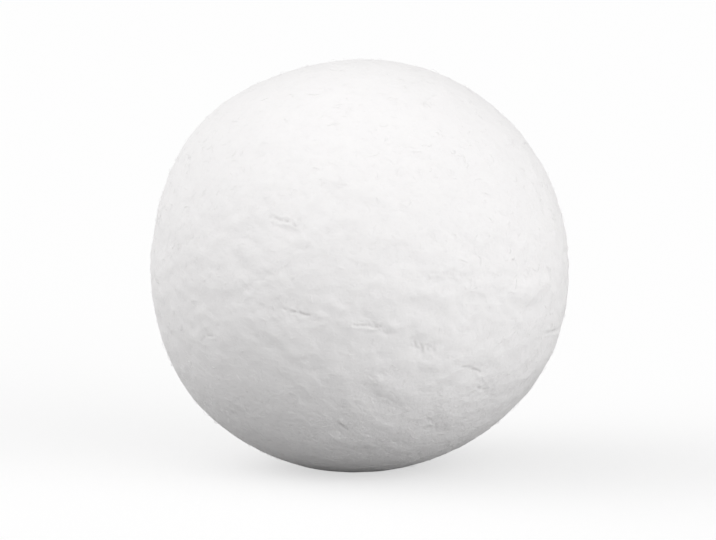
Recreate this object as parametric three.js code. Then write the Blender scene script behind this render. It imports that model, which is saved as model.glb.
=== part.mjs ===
// A cotton ball: one wad of carded cotton web rolled up until it is almost round. The rolling leaves
// low soft lobes and flats, the web pinches into short creases, and the wad's own weight gives it a
// small flat foot. It is one closed solid, in millimetres, +Z up, with its front towards -Y. The
// origin is on the table, under the middle of the ball.

import * as THREE from "three";

// Driving dimensions.
const BALL_RADIUS = 18.9; // between the lobes
const FOOT_RADIUS = 3.7; // of the round flat that the ball rests on

// Fineness of the surface.
const SPHERE_DETAIL = 13; // the icosahedron's edges are divided into one more than this
const CREASE_ROUNDS = 2; // how many times the triangles near a crease are halved
const CREASE_MARGIN = 0.5; // how far past a crease, in millimetres, that reaches
const FOOT_ROUNDS = 1; // how many times the triangles of the foot are halved
const FOOT_MARGIN = 1.2; // how far past the foot that reaches, as a share of its radius

// A place on the ball is an azimuth and an elevation in degrees: azimuth 0 is the front, 90 the
// right-hand side (+X) and 180 the back, and elevation 90 is the top.

// Lobes and flats: height in millimetres (negative for a flat), and spread in degrees from the
// middle to where the height has dropped to about a third.
const LOBES = [
  { azimuth: -97, elevation: 40, height: 0.5, spread: 20 }, // left shoulder
  { azimuth: -83, elevation: -38, height: 0.38, spread: 24 }, // lower left
  { azimuth: 86, elevation: -22, height: 0.38, spread: 27 }, // lower right
  { azimuth: 96, elevation: 38, height: 0.16, spread: 32 }, // right shoulder
  { azimuth: -135, elevation: 79, height: -0.16, spread: 22 }, // crown flat
  { azimuth: 54, elevation: -76, height: -0.15, spread: 22 }, // flat beside the foot
  { azimuth: -15, elevation: 12, height: 0.16, spread: 34 }, // front
  { azimuth: 34, elevation: -30, height: 0.18, spread: 20 }, // front, beyond the diagonal fold
  { azimuth: 176, elevation: 8, height: 0.22, spread: 30 }, // back
  { azimuth: 140, elevation: -34, height: 0.3, spread: 24 }, // lower back, right
  { azimuth: -146, elevation: -18, height: -0.2, spread: 26 }, // back flat, left
  { azimuth: 160, elevation: 52, height: 0.2, spread: 28 }, // upper back
];

// Creases: heading is the way the crease runs, in degrees up from level towards the right. Length
// is from tip to tip and width from the middle to where the depth has dropped to about a third.
// Bow is how far the middle stands to the upper side of the straight line between the tips.
const CREASES = [
  // Front.
  { azimuth: -22, elevation: 19, heading: -14, length: 4, width: 0.6, depth: 0.22, bow: 0.1 },
  { azimuth: -16, elevation: -5, heading: -7, length: 5, width: 0.6, depth: 0.22, bow: -0.2 },
  { azimuth: 3, elevation: -9, heading: -7, length: 4.4, width: 0.6, depth: 0.2, bow: 0.15 },
  { azimuth: -27, elevation: 3, heading: 2, length: 4, width: 0.7, depth: 0.12, bow: 0.5 },
  { azimuth: -28, elevation: -5, heading: -8, length: 4, width: 0.7, depth: 0.14, bow: 0.5 },
  { azimuth: 23, elevation: 5, heading: -10, length: 4, width: 0.65, depth: 0.14, bow: 0 },
  { azimuth: 18, elevation: -16, heading: -20, length: 4.2, width: 0.7, depth: 0.2, bow: 0.3 },
  { azimuth: 34, elevation: -23, heading: -20, length: 4, width: 0.6, depth: 0.22, bow: 0.2 },
  { azimuth: 41, elevation: -30, heading: -13, length: 3.8, width: 0.65, depth: 0.24, bow: -0.2 },
  { azimuth: 4, elevation: -30, heading: -36, length: 9, width: 0.9, depth: 0.2, bow: 0.4 },
  { azimuth: -7, elevation: -41, heading: -56, length: 3, width: 0.6, depth: 0.22, bow: 0 },
  { azimuth: 26, elevation: -42, heading: -50, length: 4.4, width: 0.6, depth: 0.2, bow: 0.4 },
  { azimuth: -47, elevation: -15, heading: 20, length: 3.4, width: 0.6, depth: 0.12, bow: 0.2 },
  { azimuth: 71, elevation: -16, heading: -4, length: 5, width: 0.6, depth: 0.28, bow: 0 },
  // Left, right and back.
  { azimuth: -84, elevation: 12, heading: 24, length: 5, width: 0.65, depth: 0.26, bow: 0.4 },
  { azimuth: -108, elevation: -14, heading: -12, length: 6, width: 0.7, depth: 0.26, bow: -0.4 },
  { azimuth: 104, elevation: 16, heading: -24, length: 4.6, width: 0.6, depth: 0.24, bow: 0.3 },
  { azimuth: 122, elevation: -12, heading: 12, length: 5.8, width: 0.7, depth: 0.28, bow: 0.5 },
  { azimuth: 150, elevation: 26, heading: -8, length: 4.6, width: 0.6, depth: 0.24, bow: -0.2 },
  { azimuth: 168, elevation: -20, heading: -32, length: 7.6, width: 0.85, depth: 0.28, bow: 0.6 },
  { azimuth: -168, elevation: 6, heading: 10, length: 5, width: 0.6, depth: 0.26, bow: 0.2 },
  { azimuth: -140, elevation: 30, heading: -18, length: 4.4, width: 0.6, depth: 0.22, bow: 0 },
  { azimuth: -130, elevation: -34, heading: 34, length: 5.4, width: 0.7, depth: 0.26, bow: 0.4 },
  // Top.
  { azimuth: 40, elevation: 58, heading: 30, length: 5, width: 0.7, depth: 0.22, bow: 0.4 },
  { azimuth: -120, elevation: 66, heading: -20, length: 5.6, width: 0.7, depth: 0.22, bow: -0.3 },
];

const radians = THREE.MathUtils.degToRad;

function directionOf({ azimuth, elevation }) {
  const level = Math.cos(radians(elevation));
  return new THREE.Vector3(
    Math.sin(radians(azimuth)) * level,
    -Math.cos(radians(azimuth)) * level,
    Math.sin(radians(elevation)),
  );
}

// A crease's own axes: outward at its middle, along its run, and across it on the upper side.
function withAxes(crease) {
  const outward = directionOf(crease);
  const level = new THREE.Vector3(0, 0, 1).cross(outward).normalize();
  const along = level.clone().applyAxisAngle(outward, radians(crease.heading));
  const across = outward.clone().cross(along);
  return { ...crease, outward, along, across };
}

const lobes = LOBES.map((lobe) => ({ ...lobe, outward: directionOf(lobe) }));
const creases = CREASES.map(withAxes);

function lobeHeight(lobe, direction) {
  const angle = direction.angleTo(lobe.outward);
  return lobe.height * Math.exp(-((angle / radians(lobe.spread)) ** 2));
}

// How far a direction lies along a crease, as a share of its half length, and how many millimetres
// to the side of its bowed middle line. The far side of the ball is out of its reach.
function placeInCrease(crease, direction) {
  if (direction.dot(crease.outward) <= 0) return { share: Infinity, side: Infinity };
  const share = (BALL_RADIUS * direction.dot(crease.along)) / (crease.length / 2);
  const middle = crease.bow * (1 - share ** 2);
  return { share, side: BALL_RADIUS * direction.dot(crease.across) - middle };
}

function creaseDepth(crease, direction) {
  const { share, side } = placeInCrease(crease, direction);
  if (Math.abs(share) >= 1) return 0;
  const taper = (1 - share ** 2) ** 2;
  return crease.depth * taper * Math.exp(-((side / crease.width) ** 2));
}

function radiusAt(direction) {
  const raised = lobes.reduce((sum, lobe) => sum + lobeHeight(lobe, direction), 0);
  const sunk = creases.reduce((sum, crease) => sum + creaseDepth(crease, direction), 0);
  return BALL_RADIUS + raised - sunk;
}

const bottomRadius = radiusAt(new THREE.Vector3(0, 0, -1));
const footLevel = -Math.sqrt(bottomRadius ** 2 - FOOT_RADIUS ** 2);

// The point of the surface in a direction from the ball's middle, pressed flat at the foot.
function surfacePoint(direction) {
  const point = direction.clone().multiplyScalar(radiusAt(direction));
  point.z = Math.max(point.z, footLevel);
  return point;
}

function isNearCrease(direction) {
  return creases.some((crease) => {
    const { share, side } = placeInCrease(crease, direction);
    const pastTip = ((Math.abs(share) - 1) * crease.length) / 2;
    return pastTip < CREASE_MARGIN && Math.abs(side) < crease.width + CREASE_MARGIN;
  });
}

function isNearFoot(direction) {
  const fromMiddle = bottomRadius * Math.hypot(direction.x, direction.y);
  return direction.z < 0 && fromMiddle < FOOT_MARGIN * FOOT_RADIUS;
}

// Cuts a triangle at the middle of each edge that needs it. The choice depends on the edge alone,
// so the two triangles that share an edge agree, and the surface stays closed.
function divided(corners, needsCut) {
  const ring = corners.flatMap((corner, i) => {
    const middle = corner.clone().add(corners[(i + 1) % 3]).normalize();
    return needsCut(middle) ? [corner, middle] : [corner];
  });
  if (ring.length === 3) return [corners];
  if (ring.length === 6) {
    const [a, ab, b, bc, c, ca] = ring;
    return [
      [a, ab, ca],
      [ab, b, bc],
      [ca, bc, c],
      [ab, bc, ca],
    ];
  }
  const first = ring.findIndex((point) => !corners.includes(point));
  const [start, ...rest] = [...ring.slice(first), ...ring.slice(0, first)];
  return rest.slice(1).map((point, i) => [start, rest[i], point]);
}

function refined(triangles, rounds, needsCut) {
  for (let round = 0; round < rounds; round += 1) {
    triangles = triangles.flatMap((corners) => divided(corners, needsCut));
  }
  return triangles;
}

// The icosahedron's triangles, as the directions of their corners. Corners that triangles share are
// rounded to the same numbers, so that whatever is worked out from them is the same too.
function sphereTriangles() {
  const position = new THREE.IcosahedronGeometry(1, SPHERE_DETAIL).getAttribute("position");
  const corner = (i) => new THREE.Vector3().fromBufferAttribute(position, i);
  const rounded = (point) => point.set(...point.toArray().map((x) => Math.round(x * 1e5) / 1e5));
  const triangles = [];
  for (let i = 0; i < position.count; i += 3) {
    triangles.push([i, i + 1, i + 2].map((k) => rounded(corner(k)).normalize()));
  }
  return triangles;
}

function ballGeometry() {
  let triangles = refined(sphereTriangles(), CREASE_ROUNDS, isNearCrease);
  triangles = refined(triangles, FOOT_ROUNDS, isNearFoot);
  const geometry = new THREE.BufferGeometry().setFromPoints(triangles.flat().map(surfacePoint));
  geometry.computeBoundingBox();
  const { min, max } = geometry.boundingBox;
  geometry.translate(-(min.x + max.x) / 2, -(min.y + max.y) / 2, -min.z);
  geometry.computeVertexNormals();
  return geometry;
}

const cotton = new THREE.MeshStandardMaterial({ color: 0xf3f2ef, roughness: 1, metalness: 0 });
const cottonBall = new THREE.Mesh(ballGeometry(), cotton);
cottonBall.name = "cotton_ball";

const part = new THREE.Group();
part.add(cottonBall);

export default part;
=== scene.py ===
# %% [markdown]
# # A cotton ball
# The real thing is a wad of carded, bleached cotton web that a machine has rolled until it is nearly
# round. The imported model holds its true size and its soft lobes. What it lacks is the look of
# cotton: a matted surface of small tufts, short creases where the web has pinched, and the fibres
# that lie on it. Those are made here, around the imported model. Everything is in metres.

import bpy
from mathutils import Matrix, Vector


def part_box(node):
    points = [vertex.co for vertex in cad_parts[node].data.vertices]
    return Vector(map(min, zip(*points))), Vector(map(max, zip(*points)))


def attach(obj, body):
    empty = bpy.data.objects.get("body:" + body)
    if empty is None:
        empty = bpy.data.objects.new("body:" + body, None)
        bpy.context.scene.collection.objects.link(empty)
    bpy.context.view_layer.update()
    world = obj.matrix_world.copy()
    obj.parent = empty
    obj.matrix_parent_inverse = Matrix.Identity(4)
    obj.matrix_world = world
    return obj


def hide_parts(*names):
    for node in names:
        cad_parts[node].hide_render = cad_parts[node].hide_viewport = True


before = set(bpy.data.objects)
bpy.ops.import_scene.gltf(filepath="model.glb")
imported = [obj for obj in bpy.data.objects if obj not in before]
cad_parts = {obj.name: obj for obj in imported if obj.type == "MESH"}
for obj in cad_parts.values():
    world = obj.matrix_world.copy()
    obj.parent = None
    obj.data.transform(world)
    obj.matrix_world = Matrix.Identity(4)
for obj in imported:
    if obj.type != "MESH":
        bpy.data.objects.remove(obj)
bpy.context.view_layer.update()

# %% Tools, and the ball's own measures
import math
import random

import bmesh
import bpy
import numpy as np
from mathutils import Matrix, Vector, noise
from mathutils.bvhtree import BVHTree
from mathutils.kdtree import KDTree

MM = 0.001
scene = bpy.context.scene

low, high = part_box("cotton_ball")
ball_middle = (low + high) / 2
ball_radius = (high.x - low.x) / 2
print(f"the ball is {2 * ball_radius / MM:.1f} mm wide and {(high.z - low.z) / MM:.1f} mm high")


# %% [markdown]
# ## Places on the ball
# Lights, creases and fibres all sit somewhere around the ball. An azimuth and an elevation say
# where, as on a globe: azimuth 0 is the front, 90 the right-hand side, and elevation 90 the top. A
# heading says which way something runs there, in degrees up from level towards the right.

# %% Directions and headings
UP = Vector((0, 0, 1))


def direction(azimuth, elevation):
    """The unit vector from the ball's middle towards a place."""
    turn, rise = math.radians(azimuth), math.radians(elevation)
    level = math.cos(rise)
    return Vector((math.sin(turn) * level, -math.cos(turn) * level, math.sin(rise)))


def run_of(outward, heading):
    """The unit vector along the surface that leaves a place in the way of a heading."""
    level = UP.cross(outward).normalized()
    return Matrix.Rotation(math.radians(heading), 3, outward) @ level


print("the front is towards", direction(0, 0)[:])

# %% [markdown]
# ## Camera
# A product picture of something this small is taken from well back with a long lens, a little from
# above, so that the ball shows nearly in its true outline. The lens follows from how much of the
# picture's width the ball takes. The camera aims a hair under the ball's middle, which leaves a
# little more room below the ball than above it.

# %% Camera
CAMERA_DISTANCE = 0.6
CAMERA_ELEVATION = 8
BALL_SHARE = 0.585
SENSOR_WIDTH = 36
AIM_OFFSET = Vector((-0.16, 0, -0.54)) * MM

camera = bpy.data.objects.new("camera", bpy.data.cameras.new("camera"))
scene.collection.objects.link(camera)
scene.camera = camera
towards_camera = direction(0, CAMERA_ELEVATION)
camera.location = ball_middle + AIM_OFFSET + CAMERA_DISTANCE * towards_camera
camera.rotation_mode = "QUATERNION"
camera.rotation_quaternion = (-towards_camera).to_track_quat("-Z", "Y")
ball_half_angle = math.asin(ball_radius / CAMERA_DISTANCE)
camera.data.sensor_width = SENSOR_WIDTH
camera.data.lens = SENSOR_WIDTH / 2 * BALL_SHARE / math.tan(ball_half_angle)
camera.data.clip_start = 0.01
camera.data.clip_end = 100
print(f"the lens is {camera.data.lens:.0f} mm long")

# %% [markdown]
# ## Shader sums
# A shader is a graph of nodes, and its arithmetic is easier to read as arithmetic. `Signal` wraps a
# node's output, so that `1 - mask` or `grain * 0.3` adds the Math nodes for it, and `Shader` is the
# one place where any other node is made.


# %% Signal and Shader
class Signal:
    """One output of a node, for sums."""

    def __init__(self, shader, socket):
        self.shader, self.socket = shader, socket

    def __add__(self, other):
        return self.shader.math("ADD", self, other)

    def __sub__(self, other):
        return self.shader.math("SUBTRACT", self, other)

    def __rsub__(self, other):
        return self.shader.math("SUBTRACT", other, self)

    def __mul__(self, other):
        return self.shader.math("MULTIPLY", self, other)

    def __pow__(self, other):
        return self.shader.math("POWER", self, other)

    __radd__ = __add__
    __rmul__ = __mul__


class Shader:
    """The node tree of a material or a world, emptied and ready for new nodes."""

    def __init__(self, owner):
        owner.use_nodes = True
        self.tree = owner.node_tree
        self.tree.nodes.clear()

    def node(self, kind, settings=None, inputs=None, output=0):
        """A new node with its settings, then its inputs, which are plain values or Signals."""
        made = self.tree.nodes.new("ShaderNode" + kind)
        for name, value in (settings or {}).items():
            setattr(made, name, value)
        for name, value in (inputs or {}).items():
            if isinstance(value, Signal):
                self.tree.links.new(value.socket, made.inputs[name])
            else:
                made.inputs[name].default_value = value
        return Signal(self, made.outputs[output])

    def math(self, operation, first, second):
        return self.node("Math", {"operation": operation}, {0: first, 1: second})

    def mix(self, factor, first, second):
        """A colour that goes from the first to the second as the factor goes from 0 to 1."""
        inputs = {0: factor, 6: first, 7: second}
        return self.node("Mix", {"data_type": "RGBA"}, inputs, output=2)

    def end(self, kind, socket, signal):
        """Plugs the finished surface or background into the tree's output."""
        made = self.tree.nodes.new("ShaderNodeOutput" + kind)
        self.tree.links.new(signal.socket, made.inputs[socket])


print("shader sums are ready")

# %% [markdown]
# ## The stage
# The ball stands on a plain white floor. White paper would throw so much light back up that the
# ball's underside would lose its shade, so the floor is two sheets: the white one is what shows, and
# it bounces no light, and a greyer card just under it does the bouncing. The white sheet is lit from
# below as well, like the table that small goods are pictured on, which keeps the shadow faint. That
# light is kept off the ball too.

# %% Floor and bounce card
FLOOR_HALF_WIDTH = 6
CARD_DEPTH = 0.5 * MM
FLOOR_WHITE = 0.99
CARD_GREY = 0.57
LIT_FROM_BELOW = 0.6


def stage_sheet(name, height, grey, lit_from_below=0):
    """A flat square of plain matte card, and the share of its brightness that comes from below."""
    sheet = bmesh.new()
    bmesh.ops.create_grid(sheet, x_segments=1, y_segments=1, size=FLOOR_HALF_WIDTH)
    bmesh.ops.translate(sheet, verts=sheet.verts, vec=(0, 0, height))
    made = bpy.data.objects.new(name, bpy.data.meshes.new(name))
    sheet.to_mesh(made.data)
    sheet.free()
    scene.collection.objects.link(made)
    card = bpy.data.materials.new(name)
    shader = Shader(card)
    reflected = grey * (1 - lit_from_below)
    inputs = {
        "Base Color": (reflected, reflected, reflected, 1),
        "Roughness": 1,
        "Specular IOR Level": 0,
        "Emission Color": (1, 1, 1, 1),
        "Emission Strength": grey * lit_from_below,
    }
    shader.end("Material", "Surface", shader.node("BsdfPrincipled", {}, inputs))
    made.data.materials.append(card)
    return made


floor = stage_sheet("white_floor", 0, FLOOR_WHITE, LIT_FROM_BELOW)
floor.visible_diffuse = False
floor.data.materials[0].cycles.emission_sampling = "NONE"
bounce_card = stage_sheet("bounce_card", -CARD_DEPTH, CARD_GREY)
bounce_card.visible_camera = False
print("the floor is", 2 * FLOOR_HALF_WIDTH, "m wide")

# %% [markdown]
# ## Studio light
# Cotton is lit softly, because a hard lamp would bleach it on one side and leave the other grey. An
# overcast dome gives light from all round, and broad lamps stand in it: one up on the left, a lower
# one to the front and right, and a weak one far round on the right. A lamp is a lobe of the dome that
# fades with the angle from its middle. Where the camera looks past the floor it sees plain white.
# The picture's tones are left as they are, since a film-like curve would turn the white grey.

# %% Dome and lamps
OVERCAST = 0.46
LAMPS = [
    {"azimuth": -90, "elevation": 30, "strength": 2.46},
    {"azimuth": 45, "elevation": 8, "strength": 3.54},
    {"azimuth": 90, "elevation": 5, "strength": 0.27},
]
LAMP_FALLOFF = 6
WHITE = (1, 1, 1, 1)

studio = bpy.data.worlds.new("studio")
scene.world = studio
dome = Shader(studio)
looking = dome.node("TexCoord", output="Generated")
light = OVERCAST
for lamp in LAMPS:
    middle = direction(lamp["azimuth"], lamp["elevation"])
    facing = dome.node("VectorMath", {"operation": "DOT_PRODUCT"}, {0: looking, 1: middle}, "Value")
    light = dome.math("MAXIMUM", facing, 0) ** LAMP_FALLOFF * lamp["strength"] + light
lit = dome.node("Background", {}, {"Color": WHITE, "Strength": light})
plain = dome.node("Background", {}, {"Color": WHITE, "Strength": FLOOR_WHITE})
seen = dome.node("LightPath", output="Is Camera Ray")
dome.end("World", "Surface", dome.node("MixShader", {}, {0: seen, 1: lit, 2: plain}))
scene.view_settings.view_transform = "Standard"
print("lamps:", len(LAMPS))

# %% [markdown]
# ## The ball's blank
# A globe's poles would pinch a fine surface, so the blank is a cube with its faces divided finely
# and blown up to a ball: nearly square faces everywhere. Each point is then moved out to the packed
# model's surface, whose flat facets are wider than the blank's, and a few rounds of smoothing turn
# those facets back into soft cotton. Before that, each side of the cube gets its own place on the
# texture map, three across and two up.

# %% Divided cube with a texture map
FACES_ALONG_A_SIDE = 106
MAP_COLUMNS, MAP_ROWS = 3, 2
MAP_GAP = 0.004

ball = bmesh.new()
bmesh.ops.create_cube(ball, size=2)
bmesh.ops.subdivide_edges(ball, edges=ball.edges, cuts=FACES_ALONG_A_SIDE - 1, use_grid_fill=True)
texture_map = ball.loops.layers.uv.new("OFBake")
for face in ball.faces:
    middle = face.calc_center_median()
    axis = max(range(3), key=lambda i: abs(middle[i]))
    column, row = axis, int(middle[axis] > 0)
    for loop in face.loops:
        across, up = (loop.vert.co[i] / 2 + 0.5 for i in range(3) if i != axis)
        u = (column + MAP_GAP + across * (1 - 2 * MAP_GAP)) / MAP_COLUMNS
        v = (row + MAP_GAP + up * (1 - 2 * MAP_GAP)) / MAP_ROWS
        loop[texture_map].uv = (u, v)
print("the blank has", len(ball.faces), "faces")

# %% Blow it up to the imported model's surface
SMOOTHING_ROUNDS = 20

packed = bmesh.new()
packed.from_mesh(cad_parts["cotton_ball"].data)
bmesh.ops.remove_doubles(packed, verts=packed.verts, dist=0.001 * MM)
packed_surface = BVHTree.FromBMesh(packed)
packed.free()


def smooth(mesh, rounds):
    """Draws every point towards its neighbours, so that small steps melt away."""
    for _ in range(rounds):
        bmesh.ops.smooth_vert(
            mesh, verts=mesh.verts, factor=0.5, use_axis_x=True, use_axis_y=True, use_axis_z=True
        )


for vertex in ball.verts:
    outward = Vector([math.tan(x * math.pi / 4) for x in vertex.co]).normalized()
    vertex.co = packed_surface.ray_cast(ball_middle, outward)[0]
smooth(ball, SMOOTHING_ROUNDS)
mean_edge = sum(edge.calc_length() for edge in ball.edges) / len(ball.edges)
print(f"mean face edge: {mean_edge / MM:.3f} mm")

# %% [markdown]
# ## Creases
# Rolling pinches the web here and there into a short crease: a hairline groove, ragged along its
# length, with the web swollen a little on both sides. The imported model has the shallow valleys that
# the longer ones lie in, at the same places. The groove itself is finer than the blank's faces, so
# the faces around each crease are divided twice more before the groove is pressed in.

# %% The creases
# Lengths and bows are in millimetres. Bow is how far the middle stands to the upper side of a
# straight crease. Pinch says how hard the web is pinched there, from 0 to 1, and also how much
# painted shade darkens its groove.
CREASES = [
    # Front.
    {"azimuth": -21.8, "elevation": 18.7, "heading": -14, "length": 3, "pinch_and_groove_shade": 0.8, "bow": 0.1},
    {"azimuth": -16.3, "elevation": -5.2, "heading": -8, "length": 3.3, "pinch_and_groove_shade": 0.75, "bow": -0.12},
    {"azimuth": 1.8, "elevation": -8.5, "heading": -6, "length": 3.4, "pinch_and_groove_shade": 0.8, "bow": -0.1},
    {"azimuth": -27.6, "elevation": 1.8, "heading": 4, "length": 2.8, "pinch_and_groove_shade": 0.25, "bow": 0.3},
    {"azimuth": -27.3, "elevation": -5.1, "heading": -7, "length": 2.4, "pinch_and_groove_shade": 0.15, "bow": 0.35},
    {"azimuth": 22.7, "elevation": 4.7, "heading": -10, "length": 2.6, "pinch_and_groove_shade": 0.3, "bow": 0},
    {"azimuth": 34.3, "elevation": -23.3, "heading": -19, "length": 3, "pinch_and_groove_shade": 0.6, "bow": 0.15},
    {"azimuth": 40.5, "elevation": -29.5, "heading": -13, "length": 2.4, "pinch_and_groove_shade": 0.6, "bow": -0.1},
    {"azimuth": 4, "elevation": -25, "heading": -46, "length": 2.6, "pinch_and_groove_shade": 0.3, "bow": 0.2},
    {"azimuth": 11, "elevation": -33, "heading": -34, "length": 2.4, "pinch_and_groove_shade": 0.3, "bow": 0.2},
    {"azimuth": 15.4, "elevation": -14.6, "heading": -84, "length": 0.9, "pinch_and_groove_shade": 0.5, "bow": 0},
    {"azimuth": 17.2, "elevation": -15.6, "heading": -72, "length": 1.1, "pinch_and_groove_shade": 0.6, "bow": 0.1},
    {"azimuth": 19.1, "elevation": -15.4, "heading": -80, "length": 0.8, "pinch_and_groove_shade": 0.5, "bow": 0},
    {"azimuth": 21.2, "elevation": -16.6, "heading": -76, "length": 0.9, "pinch_and_groove_shade": 0.4, "bow": 0},
    {"azimuth": -6.6, "elevation": -41.2, "heading": -56, "length": 1.8, "pinch_and_groove_shade": 0.9, "bow": 0},
    {"azimuth": 25.8, "elevation": -41.8, "heading": -50, "length": 3.6, "pinch_and_groove_shade": 0.4, "bow": 0.4},
    {"azimuth": -47.3, "elevation": -15, "heading": 19, "length": 2.4, "pinch_and_groove_shade": 0.4, "bow": 0.15},
    {"azimuth": 71.5, "elevation": -16.4, "heading": -4, "length": 4.2, "pinch_and_groove_shade": 1, "bow": 0},
    # Left, right and back.
    {"azimuth": -84, "elevation": 12, "heading": 24, "length": 3.2, "pinch_and_groove_shade": 0.8, "bow": 0.3},
    {"azimuth": -108, "elevation": -14, "heading": -12, "length": 4.2, "pinch_and_groove_shade": 0.7, "bow": -0.3},
    {"azimuth": 104, "elevation": 16, "heading": -24, "length": 3, "pinch_and_groove_shade": 0.7, "bow": 0.2},
    {"azimuth": 122, "elevation": -12, "heading": 12, "length": 3.8, "pinch_and_groove_shade": 0.9, "bow": 0.4},
    {"azimuth": 150, "elevation": 26, "heading": -8, "length": 2.8, "pinch_and_groove_shade": 0.8, "bow": -0.15},
    {"azimuth": 168, "elevation": -20, "heading": -32, "length": 5.4, "pinch_and_groove_shade": 0.5, "bow": 0.5},
    {"azimuth": -168, "elevation": 6, "heading": 10, "length": 3.4, "pinch_and_groove_shade": 0.9, "bow": 0.2},
    {"azimuth": -140, "elevation": 30, "heading": -18, "length": 2.8, "pinch_and_groove_shade": 0.6, "bow": 0},
    {"azimuth": -130, "elevation": -34, "heading": 34, "length": 3.8, "pinch_and_groove_shade": 0.7, "bow": 0.3},
    # Top.
    {"azimuth": 10.4, "elevation": 43.4, "heading": -12, "length": 0.6, "pinch_and_groove_shade": 0.9, "bow": 0},
    {"azimuth": 40, "elevation": 58, "heading": 30, "length": 3.2, "pinch_and_groove_shade": 0.3, "bow": 0.3},
    {"azimuth": -120, "elevation": 66, "heading": -20, "length": 3.8, "pinch_and_groove_shade": 0.5, "bow": -0.3},
]
GROOVE_DEPTH = 0.06 * MM
GROOVE_WIDTH = 0.13 * MM
LIP_OFFSET = 0.32 * MM
LIP_WIDTH = 0.2 * MM
LIP_HEIGHT = 0.032 * MM
WANDER = 0.16 * MM
WANDER_STEP = 0.8 * MM
RAGGED_STEP = 0.42 * MM


def add_axes(mark):
    """Gives a crease or a fold its own axes: outward at its middle, along its run, and across it."""
    mark["outward"] = direction(mark["azimuth"], mark["elevation"])
    mark["along"] = run_of(mark["outward"], mark["heading"])
    mark["across"] = mark["outward"].cross(mark["along"])


def place_in_crease(crease, point):
    """How far along a crease a point is, as a share of its half length, and how far to its side."""
    from_middle = point - ball_middle
    run = from_middle.dot(crease["along"])
    share = run / (crease["length"] * MM / 2)
    wander = WANDER * noise.noise(Vector((run / WANDER_STEP, crease["azimuth"], 0)))
    side = from_middle.dot(crease["across"]) - crease["bow"] * MM * (1 - share**2) - wander
    return share, side


def near_crease(points, crease, margin):
    """The points of a tree that a crease can reach."""
    middle = ball_middle + ball_radius * crease["outward"]
    return points.find_range(middle, crease["length"] * MM / 2 + abs(crease["bow"]) * MM + margin)


for crease in CREASES:
    add_axes(crease)
print("creases:", len(CREASES))

# %% Finer faces around the creases
FINE_MARGINS = (0.9 * MM, 0.5 * MM)


def point_tree(mesh):
    """The mesh's points, ready to be looked up by place."""
    tree = KDTree(len(mesh.verts))
    for vertex in mesh.verts:
        tree.insert(vertex.co, vertex.index)
    tree.balance()
    return tree


for margin in FINE_MARGINS:
    ball.verts.ensure_lookup_table()
    ball.verts.index_update()
    points = point_tree(ball)
    marked = set()
    for crease in CREASES:
        for point, index, _ in near_crease(points, crease, margin):
            share, side = place_in_crease(crease, point)
            past_tip = (abs(share) - 1) * crease["length"] * MM / 2
            if past_tip < margin and abs(side) < margin:
                marked.add(index)
    edges = [edge for edge in ball.edges if {edge.verts[0].index, edge.verts[1].index} <= marked]
    bmesh.ops.subdivide_edges(ball, edges=edges, cuts=1, use_grid_fill=True, use_single_edge=True)
ball.verts.ensure_lookup_table()
ball.verts.index_update()
print("with finer faces at the creases:", sum(len(face.verts) - 2 for face in ball.faces), "triangles")

# %% [markdown]
# ## Relief
# Away from the creases the web isn't smooth either. It has soft swells one to five millimetres
# across, a few folds, and a close mat of tufts: small bundles of fibre that lie the way the web was
# laid. The tufts are low rounded mounds, longer than they are wide. All of it is added up as a height
# for each point, and the points are then moved in one go.

# %% The lay of the web
LAY_LEVEL = -8
LAY_LOW = -42
LAY_WAVE = 30


def lay_of_web(outward):
    """The heading in which most fibres lie: near level on top, and slanting down low on the ball."""
    lowness = min(max(-outward.z * 1.7 - 0.25, 0), 1)
    swirl = noise.noise(outward * 1.6 + Vector((4.2, 0, 0)))
    return LAY_LEVEL + (LAY_LOW - LAY_LEVEL) * lowness + LAY_WAVE * swirl


def random_outward(rng):
    """A direction picked evenly from all round the ball."""
    rise = rng.uniform(-1, 1)
    turn = rng.uniform(0, 2 * math.pi)
    level = math.sqrt(1 - rise * rise)
    return Vector((math.cos(turn) * level, math.sin(turn) * level, rise))


def coarseness(outward):
    """How rough the web is at a place: roughest round the middle, and smoother above and below."""
    unevenness = 0.35 * noise.noise(outward * 2.3 + Vector((0, 0, 9)))
    return 1.5 - 1.1 * abs(outward.z) + 0.2 * outward.x + unevenness


lay_at_front, lay_low_down = (lay_of_web(direction(0, elevation)) for elevation in (0, -45))
print(f"lay at the front: {lay_at_front:.0f} degrees, and low on it: {lay_low_down:.0f}")

# %% Swells
# Each is drawn out along the lay, which leans a little at the front.
SWELLS = [
    {"size": 5 * MM, "height": 0.09 * MM},
    {"size": 2 * MM, "height": 0.06 * MM},
    {"size": 1 * MM, "height": 0.036 * MM},
]
SWELL_LEAN = 14
SWELL_STRETCH = Matrix.Diagonal((0.88, 0.88, 1))
SWELL_CURL = 1


def noise_vector(point):
    """Three noises at once, as a small push in some direction that changes slowly with the place."""
    return Vector([noise.noise(point + Vector((0, 0, row))) for row in (11.3, 37.9, 71.1)])


leaning = SWELL_STRETCH @ Matrix.Rotation(math.radians(-SWELL_LEAN), 3, "Y")
points = point_tree(ball)
relief = np.zeros(len(ball.verts))
coarse = np.array([coarseness((vertex.co - ball_middle).normalized()) for vertex in ball.verts])
for vertex in ball.verts:
    for number, swell in enumerate(SWELLS):
        place = leaning @ vertex.co / swell["size"] + Vector((number * 7.3, 0, 0))
        curled = place + SWELL_CURL * noise_vector(place * 0.7)
        relief[vertex.index] += swell["height"] * noise.noise(curled) * coarse[vertex.index]
print(f"swells: {relief.min() / MM:.3f} to {relief.max() / MM:.3f} mm")

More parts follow.
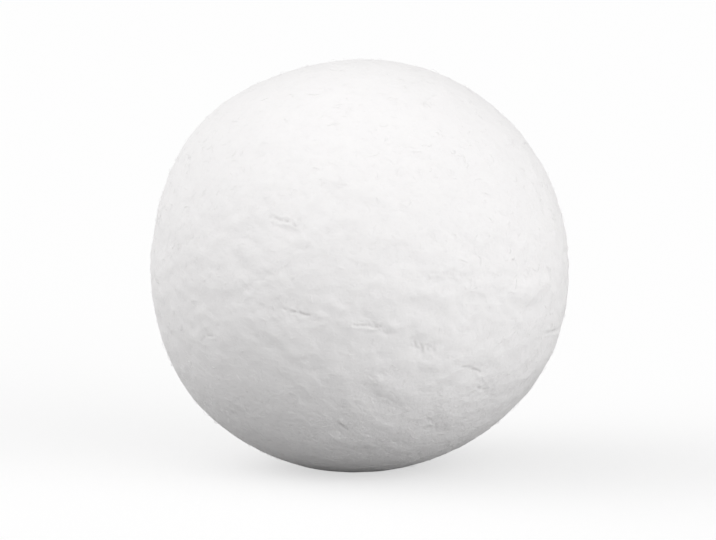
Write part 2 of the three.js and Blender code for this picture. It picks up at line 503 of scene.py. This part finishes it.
# %% Folds
# Soft ridges, or dents where the height is less than nothing, that the rolling left on the front.
# Millimetres again: width is from the middle line to where the height has dropped to about a third.
FOLDS = [
    {"azimuth": 7.5, "elevation": -27.5, "heading": -32, "length": 8, "width": 0.85, "height": 0.06},
    {"azimuth": 37, "elevation": -33, "heading": 2, "length": 4, "width": 0.7, "height": 0.07},
    {"azimuth": 17, "elevation": -15.5, "heading": -16, "length": 3.6, "width": 0.7, "height": -0.035},
    {"azimuth": 14, "elevation": 7.4, "heading": -30, "length": 2.4, "width": 0.6, "height": -0.12},
    {"azimuth": 22, "elevation": -1.5, "heading": -8, "length": 6, "width": 0.8, "height": 0.12},
    {"azimuth": 54, "elevation": -2, "heading": 4, "length": 7, "width": 0.8, "height": 0.15},
    {"azimuth": -8, "elevation": -39.5, "heading": -22, "length": 4, "width": 0.6, "height": 0.05},
    {"azimuth": 9.5, "elevation": -41.5, "heading": -26, "length": 4, "width": 0.6, "height": 0.055},
    {"azimuth": -7.5, "elevation": -48, "heading": -40, "length": 3, "width": 0.5, "height": 0.06},
    {"azimuth": 19, "elevation": -53, "heading": -20, "length": 4, "width": 0.5, "height": 0.05},
    {"azimuth": -21, "elevation": 12.5, "heading": -16, "length": 4, "width": 1, "height": 0.08},
    {"azimuth": -13, "elevation": 13.5, "heading": -60, "length": 3.6, "width": 0.45, "height": -0.04},
]
FOLD_UNEVENNESS = 0.7
FOLD_STEP = 1.3 * MM

for fold in FOLDS:
    add_axes(fold)
    reach = fold["length"] * MM / 2 + 2 * fold["width"] * MM
    for point, index, _ in points.find_range(ball_middle + ball_radius * fold["outward"], reach):
        from_middle = point - ball_middle
        share = from_middle.dot(fold["along"]) / (fold["length"] * MM / 2)
        side = from_middle.dot(fold["across"]) / (fold["width"] * MM)
        if abs(share) < 1:
            uneven = 1 + FOLD_UNEVENNESS * noise.noise(point / FOLD_STEP)
            relief[index] += fold["height"] * MM * uneven * (1 - share**2) * math.exp(-(side**2))
print("folds:", len(FOLDS))

# %% Tufts
TUFTS = 12000
TUFT_LENGTH = (0.3 * MM, 0.62 * MM)
TUFT_WIDTH = (0.24 * MM, 0.42 * MM)
TUFT_HEIGHT = (0.006 * MM, 0.018 * MM)
TUFT_STRAY = 50
TUFT_REACH = 1.6

rng = random.Random(11)
tuft_relief = np.zeros(len(ball.verts))
for _ in range(TUFTS):
    outward = random_outward(rng)
    along = run_of(outward, lay_of_web(outward) + rng.gauss(0, TUFT_STRAY))
    across = outward.cross(along)
    length, width = rng.uniform(*TUFT_LENGTH), rng.uniform(*TUFT_WIDTH)
    height = rng.uniform(*TUFT_HEIGHT)
    middle = packed_surface.ray_cast(ball_middle, outward)[0]
    found = points.find_range(middle, TUFT_REACH * length)
    offsets = np.array([point - middle for point, _, _ in found])
    indices = [index for _, index, _ in found]
    if indices:
        spread = (offsets @ along / length) ** 2 + (offsets @ across / width) ** 2
        tuft_relief[indices] += height * np.exp(-spread)
relief += (tuft_relief - tuft_relief.mean()) * coarse
print(f"tufts: {TUFTS}, up to {tuft_relief.max() / MM:.3f} mm")

# %% Grooves and lips of the creases
# Each groove and lip is this deep or high on average, and swings by this much along its run.
GROOVE_MEAN, GROOVE_SWING, GROOVE_MOST = 0.6, 1.4, 1.2
LIP_MEAN, LIP_SWING = 0.8, 1.6


def ragged_noise(run, row):
    """Uneven steps along a crease, some long and some short."""
    long_steps = noise.noise(Vector((run / RAGGED_STEP, row, 5)))
    return long_steps + 0.5 * noise.noise(Vector((2.3 * run / RAGGED_STEP, row, 8)))


# How deep each point lies in a groove. This is not shape: it sets how much painted shade darkens the
# groove's colour.
painted_groove_shade = np.zeros(len(ball.verts))
for crease in CREASES:
    for point, index, _ in near_crease(points, crease, LIP_OFFSET + 3 * LIP_WIDTH):
        share, side = place_in_crease(crease, point)
        if abs(share) >= 1:
            continue
        strength = crease["pinch_and_groove_shade"] * (1 - share**2) ** 0.5
        run = share * crease["length"] * MM / 2
        ragged = GROOVE_MEAN + GROOVE_SWING * ragged_noise(run, crease["azimuth"])
        lip_row = side / RAGGED_STEP + crease["azimuth"]
        swollen = LIP_MEAN + LIP_SWING * ragged_noise(run, lip_row)
        groove = strength * min(max(ragged, 0), GROOVE_MOST) * math.exp(-((side / GROOVE_WIDTH) ** 2))
        lips = sum(math.exp(-(((side + s * LIP_OFFSET) / LIP_WIDTH) ** 2)) for s in (-1, 1))
        relief[index] += LIP_HEIGHT * strength * swollen * lips - GROOVE_DEPTH * groove
        painted_groove_shade[index] = max(painted_groove_shade[index], groove)
print(f"relief: {relief.min() / MM:.3f} to {relief.max() / MM:.3f} mm")

# %% Shape the ball
# The groove depth is stored on the points, for the painted shade in the grooves.
groove_shade_layer = ball.verts.layers.float.new("pinch_and_groove_shade")
for vertex in ball.verts:
    vertex[groove_shade_layer] = painted_groove_shade[vertex.index]
    vertex.co += (vertex.co - ball_middle).normalized() * relief[vertex.index]
    vertex.co.z = max(vertex.co.z, 0)
ball_surface = BVHTree.FromBMesh(ball)

rolled_cotton = bpy.data.objects.new("rolled_cotton", bpy.data.meshes.new("rolled_cotton"))
ball.to_mesh(rolled_cotton.data)
ball.free()
rolled_cotton.data.shade_smooth()
scene.collection.objects.link(rolled_cotton)
print("rolled_cotton:", len(rolled_cotton.data.vertices), "points")

# %% [markdown]
# ## Fibres
# Over the tufts lie single fibres and fine bundles of them, curled and pressed flat by the rolling.
# Each is a thin curve that walks over the shaped surface in the lay of the web, and a round bevel
# gives it a thickness. Hair particles would look alike but aren't geometry, so they would be lost
# when the ball is used elsewhere. The fibres are kept in a few pieces of moderate size.

# %% Walk a fibre over the surface
FIBRE_PIECES = 3
FIBRES_IN_A_PIECE = 5000
FIBRE_POINTS = 5
FIBRE_SIDES = 4
FIBRE_LENGTH = (0.4 * MM, 1.3 * MM)
FIBRE_RADIUS = (0.005 * MM, 0.01 * MM)
FIBRE_STRAY = 50
FIBRE_CURL = 28
LOOSE_SHARE = 0.08
LOOSE_LIFT = 0.2 * MM
LOOSE_THICKNESS = 1.6
TIP_THICKNESS = 0.3
LOWEST_START = 0.02


def walk_fibre(rng):
    """The points of one fibre, and whether it is loose: lifted between its ends, not pressed flat."""
    outward = random_outward(rng)
    heading = lay_of_web(outward) + rng.gauss(0, FIBRE_STRAY)
    curl = rng.gauss(0, FIBRE_CURL)
    step = rng.uniform(*FIBRE_LENGTH) / (FIBRE_POINTS - 1)
    loose = rng.random() < LOOSE_SHARE
    lift = LOOSE_LIFT * rng.random() if loose else 0
    path = []
    for number in range(FIBRE_POINTS):
        surface = ball_surface.ray_cast(ball_middle, outward)[0]
        raised = lift * math.sin(math.pi * number / (FIBRE_POINTS - 1))
        path.append(surface + outward * raised)
        outward = (outward + run_of(outward, heading) * step / ball_radius).normalized()
        heading += curl
    return path, loose


def map_fibres(mesh):
    """Gives each fibre its own cell of the texture map: its run one way and its sides the other."""
    cells = math.ceil(math.sqrt(FIBRES_IN_A_PIECE))
    texture_map = mesh.uv_layers[0]
    texture_map.name = "OFBake"
    for polygon in mesh.polygons:
        sides = [index % FIBRE_SIDES for index in polygon.vertices]
        wraps = 0 in sides and FIBRE_SIDES - 1 in sides
        for loop, index, side in zip(polygon.loop_indices, polygon.vertices, sides):
            fibre, within = divmod(index, FIBRE_SIDES * FIBRE_POINTS)
            row, column = divmod(fibre, cells)
            run = (within // FIBRE_SIDES + 0.5) / FIBRE_POINTS
            turn = (side + (FIBRE_SIDES if wraps and side == 0 else 0) + 0.5) / (FIBRE_SIDES + 1)
            texture_map.data[loop].uv = ((column + run) / cells, (row + turn) / cells)


def fibre_piece(name, rng):
    """A piece made of many fibres, none of which starts where the ball rests."""
    strands = bpy.data.curves.new(name, "CURVE")
    strands.dimensions = "3D"
    strands.bevel_depth = 1
    strands.bevel_resolution = 0
    strands.use_fill_caps = True
    while len(strands.splines) < FIBRES_IN_A_PIECE:
        path, loose = walk_fibre(rng)
        if path[0].z < high.z * LOWEST_START:
            continue
        spline = strands.splines.new("POLY")
        spline.points.add(FIBRE_POINTS - 1)
        thickness = rng.uniform(*FIBRE_RADIUS) * (LOOSE_THICKNESS if loose else 1)
        for number, (point, place) in enumerate(zip(spline.points, path)):
            point.co = (*place, 1)
            point.radius = thickness * (1 if 0 < number < FIBRE_POINTS - 1 else TIP_THICKNESS)
    curve = bpy.data.objects.new(name, strands)
    scene.collection.objects.link(curve)
    made = bpy.data.objects.new(name, bpy.data.meshes.new_from_object(curve))
    bpy.data.objects.remove(curve)
    made.name = name
    made.data.shade_smooth()
    map_fibres(made.data)
    scene.collection.objects.link(made)
    return made


fibres = [fibre_piece(f"surface_fibres_{n + 1}", random.Random(20 + n)) for n in range(FIBRE_PIECES)]
for piece in fibres:
    print(piece.name, len(piece.data.polygons), "faces", [layer.name for layer in piece.data.uv_layers])

# %% [markdown]
# ## Cotton
# Bleached cotton is white with the faintest warmth, and fully matte. The web is denser in some places,
# which makes it whiter there. Below the size of a tuft it is a matted felt of hair-fine fibres: a bump
# of soft grain drawn out along the lay, with a little ridged noise in it, whose crests are thin and
# wandering like fibres. Shade is painted into the colour as well: the felt's hollows are painted a
# touch greyer, the more so low on the ball, and the creases' grooves get a darker painted shade.

# %% Cotton material
COTTON_DENSE = (0.885, 0.8745, 0.8745, 1)
COTTON_OPEN = (0.84, 0.83, 0.83, 1)
# Painted shade for the felt's hollows, where the grain is low.
COTTON_HOLLOW_SHADE = (0.78, 0.77, 0.77, 1)
# Painted shade for the creases' grooves.
COTTON_GROOVE_SHADE = (0.71, 0.695, 0.695, 1)
HOLLOW_SHADE_START, HOLLOW_SHADE_END = 0.46, 0.3
HOLLOW_SHADE_SHARE = 0.5
CLOUD_SIZE = 1.4 * MM
FELT_SIZE = 0.42 * MM
FELT_STRETCH = (0.85, 0.85, 1)
FELT_HEIGHT = 0.06 * MM
SLANT = 25
TANGLE_SIZE = 0.3 * MM
TANGLE_SHARE = 0.15

cotton = bpy.data.materials.new("cotton")
shader = Shader(cotton)
place = shader.node("TexCoord", output="Object")
height_on_ball = shader.node("SeparateXYZ", {}, {0: place}, "Z")


def below(start, end):
    """0 above the first height on the ball and 1 below the second, as shares of the ball's height."""
    heights = {"Value": height_on_ball, "From Min": start * high.z, "From Max": end * high.z}
    return shader.node("MapRange", {}, heights)


def felt(slant):
    """Fine matted grain, drawn out along a lay that is turned about the way the front faces."""
    turned = {"Vector": place, "Rotation": (0, math.radians(slant), 0), "Scale": FELT_STRETCH}
    laid = shader.node("Mapping", {}, turned)
    grain_inputs = {"Vector": laid, "Scale": 1 / FELT_SIZE, "Detail": 3, "Roughness": 0.6}
    return shader.node("TexNoise", {}, grain_inputs)


grain = shader.node("Mix", {}, {0: below(0.55, 0.2), 2: felt(0), 3: felt(SLANT)})
tangle = shader.node(
    "TexNoise",
    {"noise_type": "RIDGED_MULTIFRACTAL", "normalize": True},
    {"Vector": place, "Scale": 1 / TANGLE_SIZE, "Detail": 2, "Distortion": 0.8},
)
# Smoothest on top of the ball, and roughest underneath.
rough = below(0.9, 0.4) * 0.5 + below(0.4, 0.05) * 0.9 + 0.35
height = (tangle * TANGLE_SHARE + grain) * rough
normal = shader.node("Bump", {}, {"Distance": FELT_HEIGHT, "Height": height})
# Painted shade: where the felt's grain is low the colour turns greyer, the more so low on the ball,
# where rough is larger.
hollow_shade_inputs = {"Value": grain, "From Min": HOLLOW_SHADE_START, "From Max": HOLLOW_SHADE_END}
hollow_shade = shader.node("MapRange", {}, hollow_shade_inputs)
cloud_inputs = {"Vector": place, "Scale": 1 / CLOUD_SIZE, "Detail": 6, "Roughness": 0.65}
cloud = shader.node("TexNoise", {}, cloud_inputs)
# Painted shade: the creases' grooves are darkened in the colour, the more the deeper the groove.
pinch_and_groove_shade = shader.node("Attribute", {"attribute_name": "pinch_and_groove_shade"}, {}, "Fac")
web = shader.mix(cloud, COTTON_OPEN, COTTON_DENSE)
with_hollow_shade = shader.mix(hollow_shade * rough * HOLLOW_SHADE_SHARE, web, COTTON_HOLLOW_SHADE)
inputs = {
    "Base Color": shader.mix(pinch_and_groove_shade, with_hollow_shade, COTTON_GROOVE_SHADE),
    "Roughness": 1,
    "Specular IOR Level": 0,
    "Normal": normal,
}
shader.end("Material", "Surface", shader.node("BsdfPrincipled", {}, inputs))

for piece in (rolled_cotton, *fibres):
    piece.data.materials.append(cotton)
    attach(piece, "root")
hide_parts("cotton_ball")
print("pieces of cotton:", 1 + len(fibres))
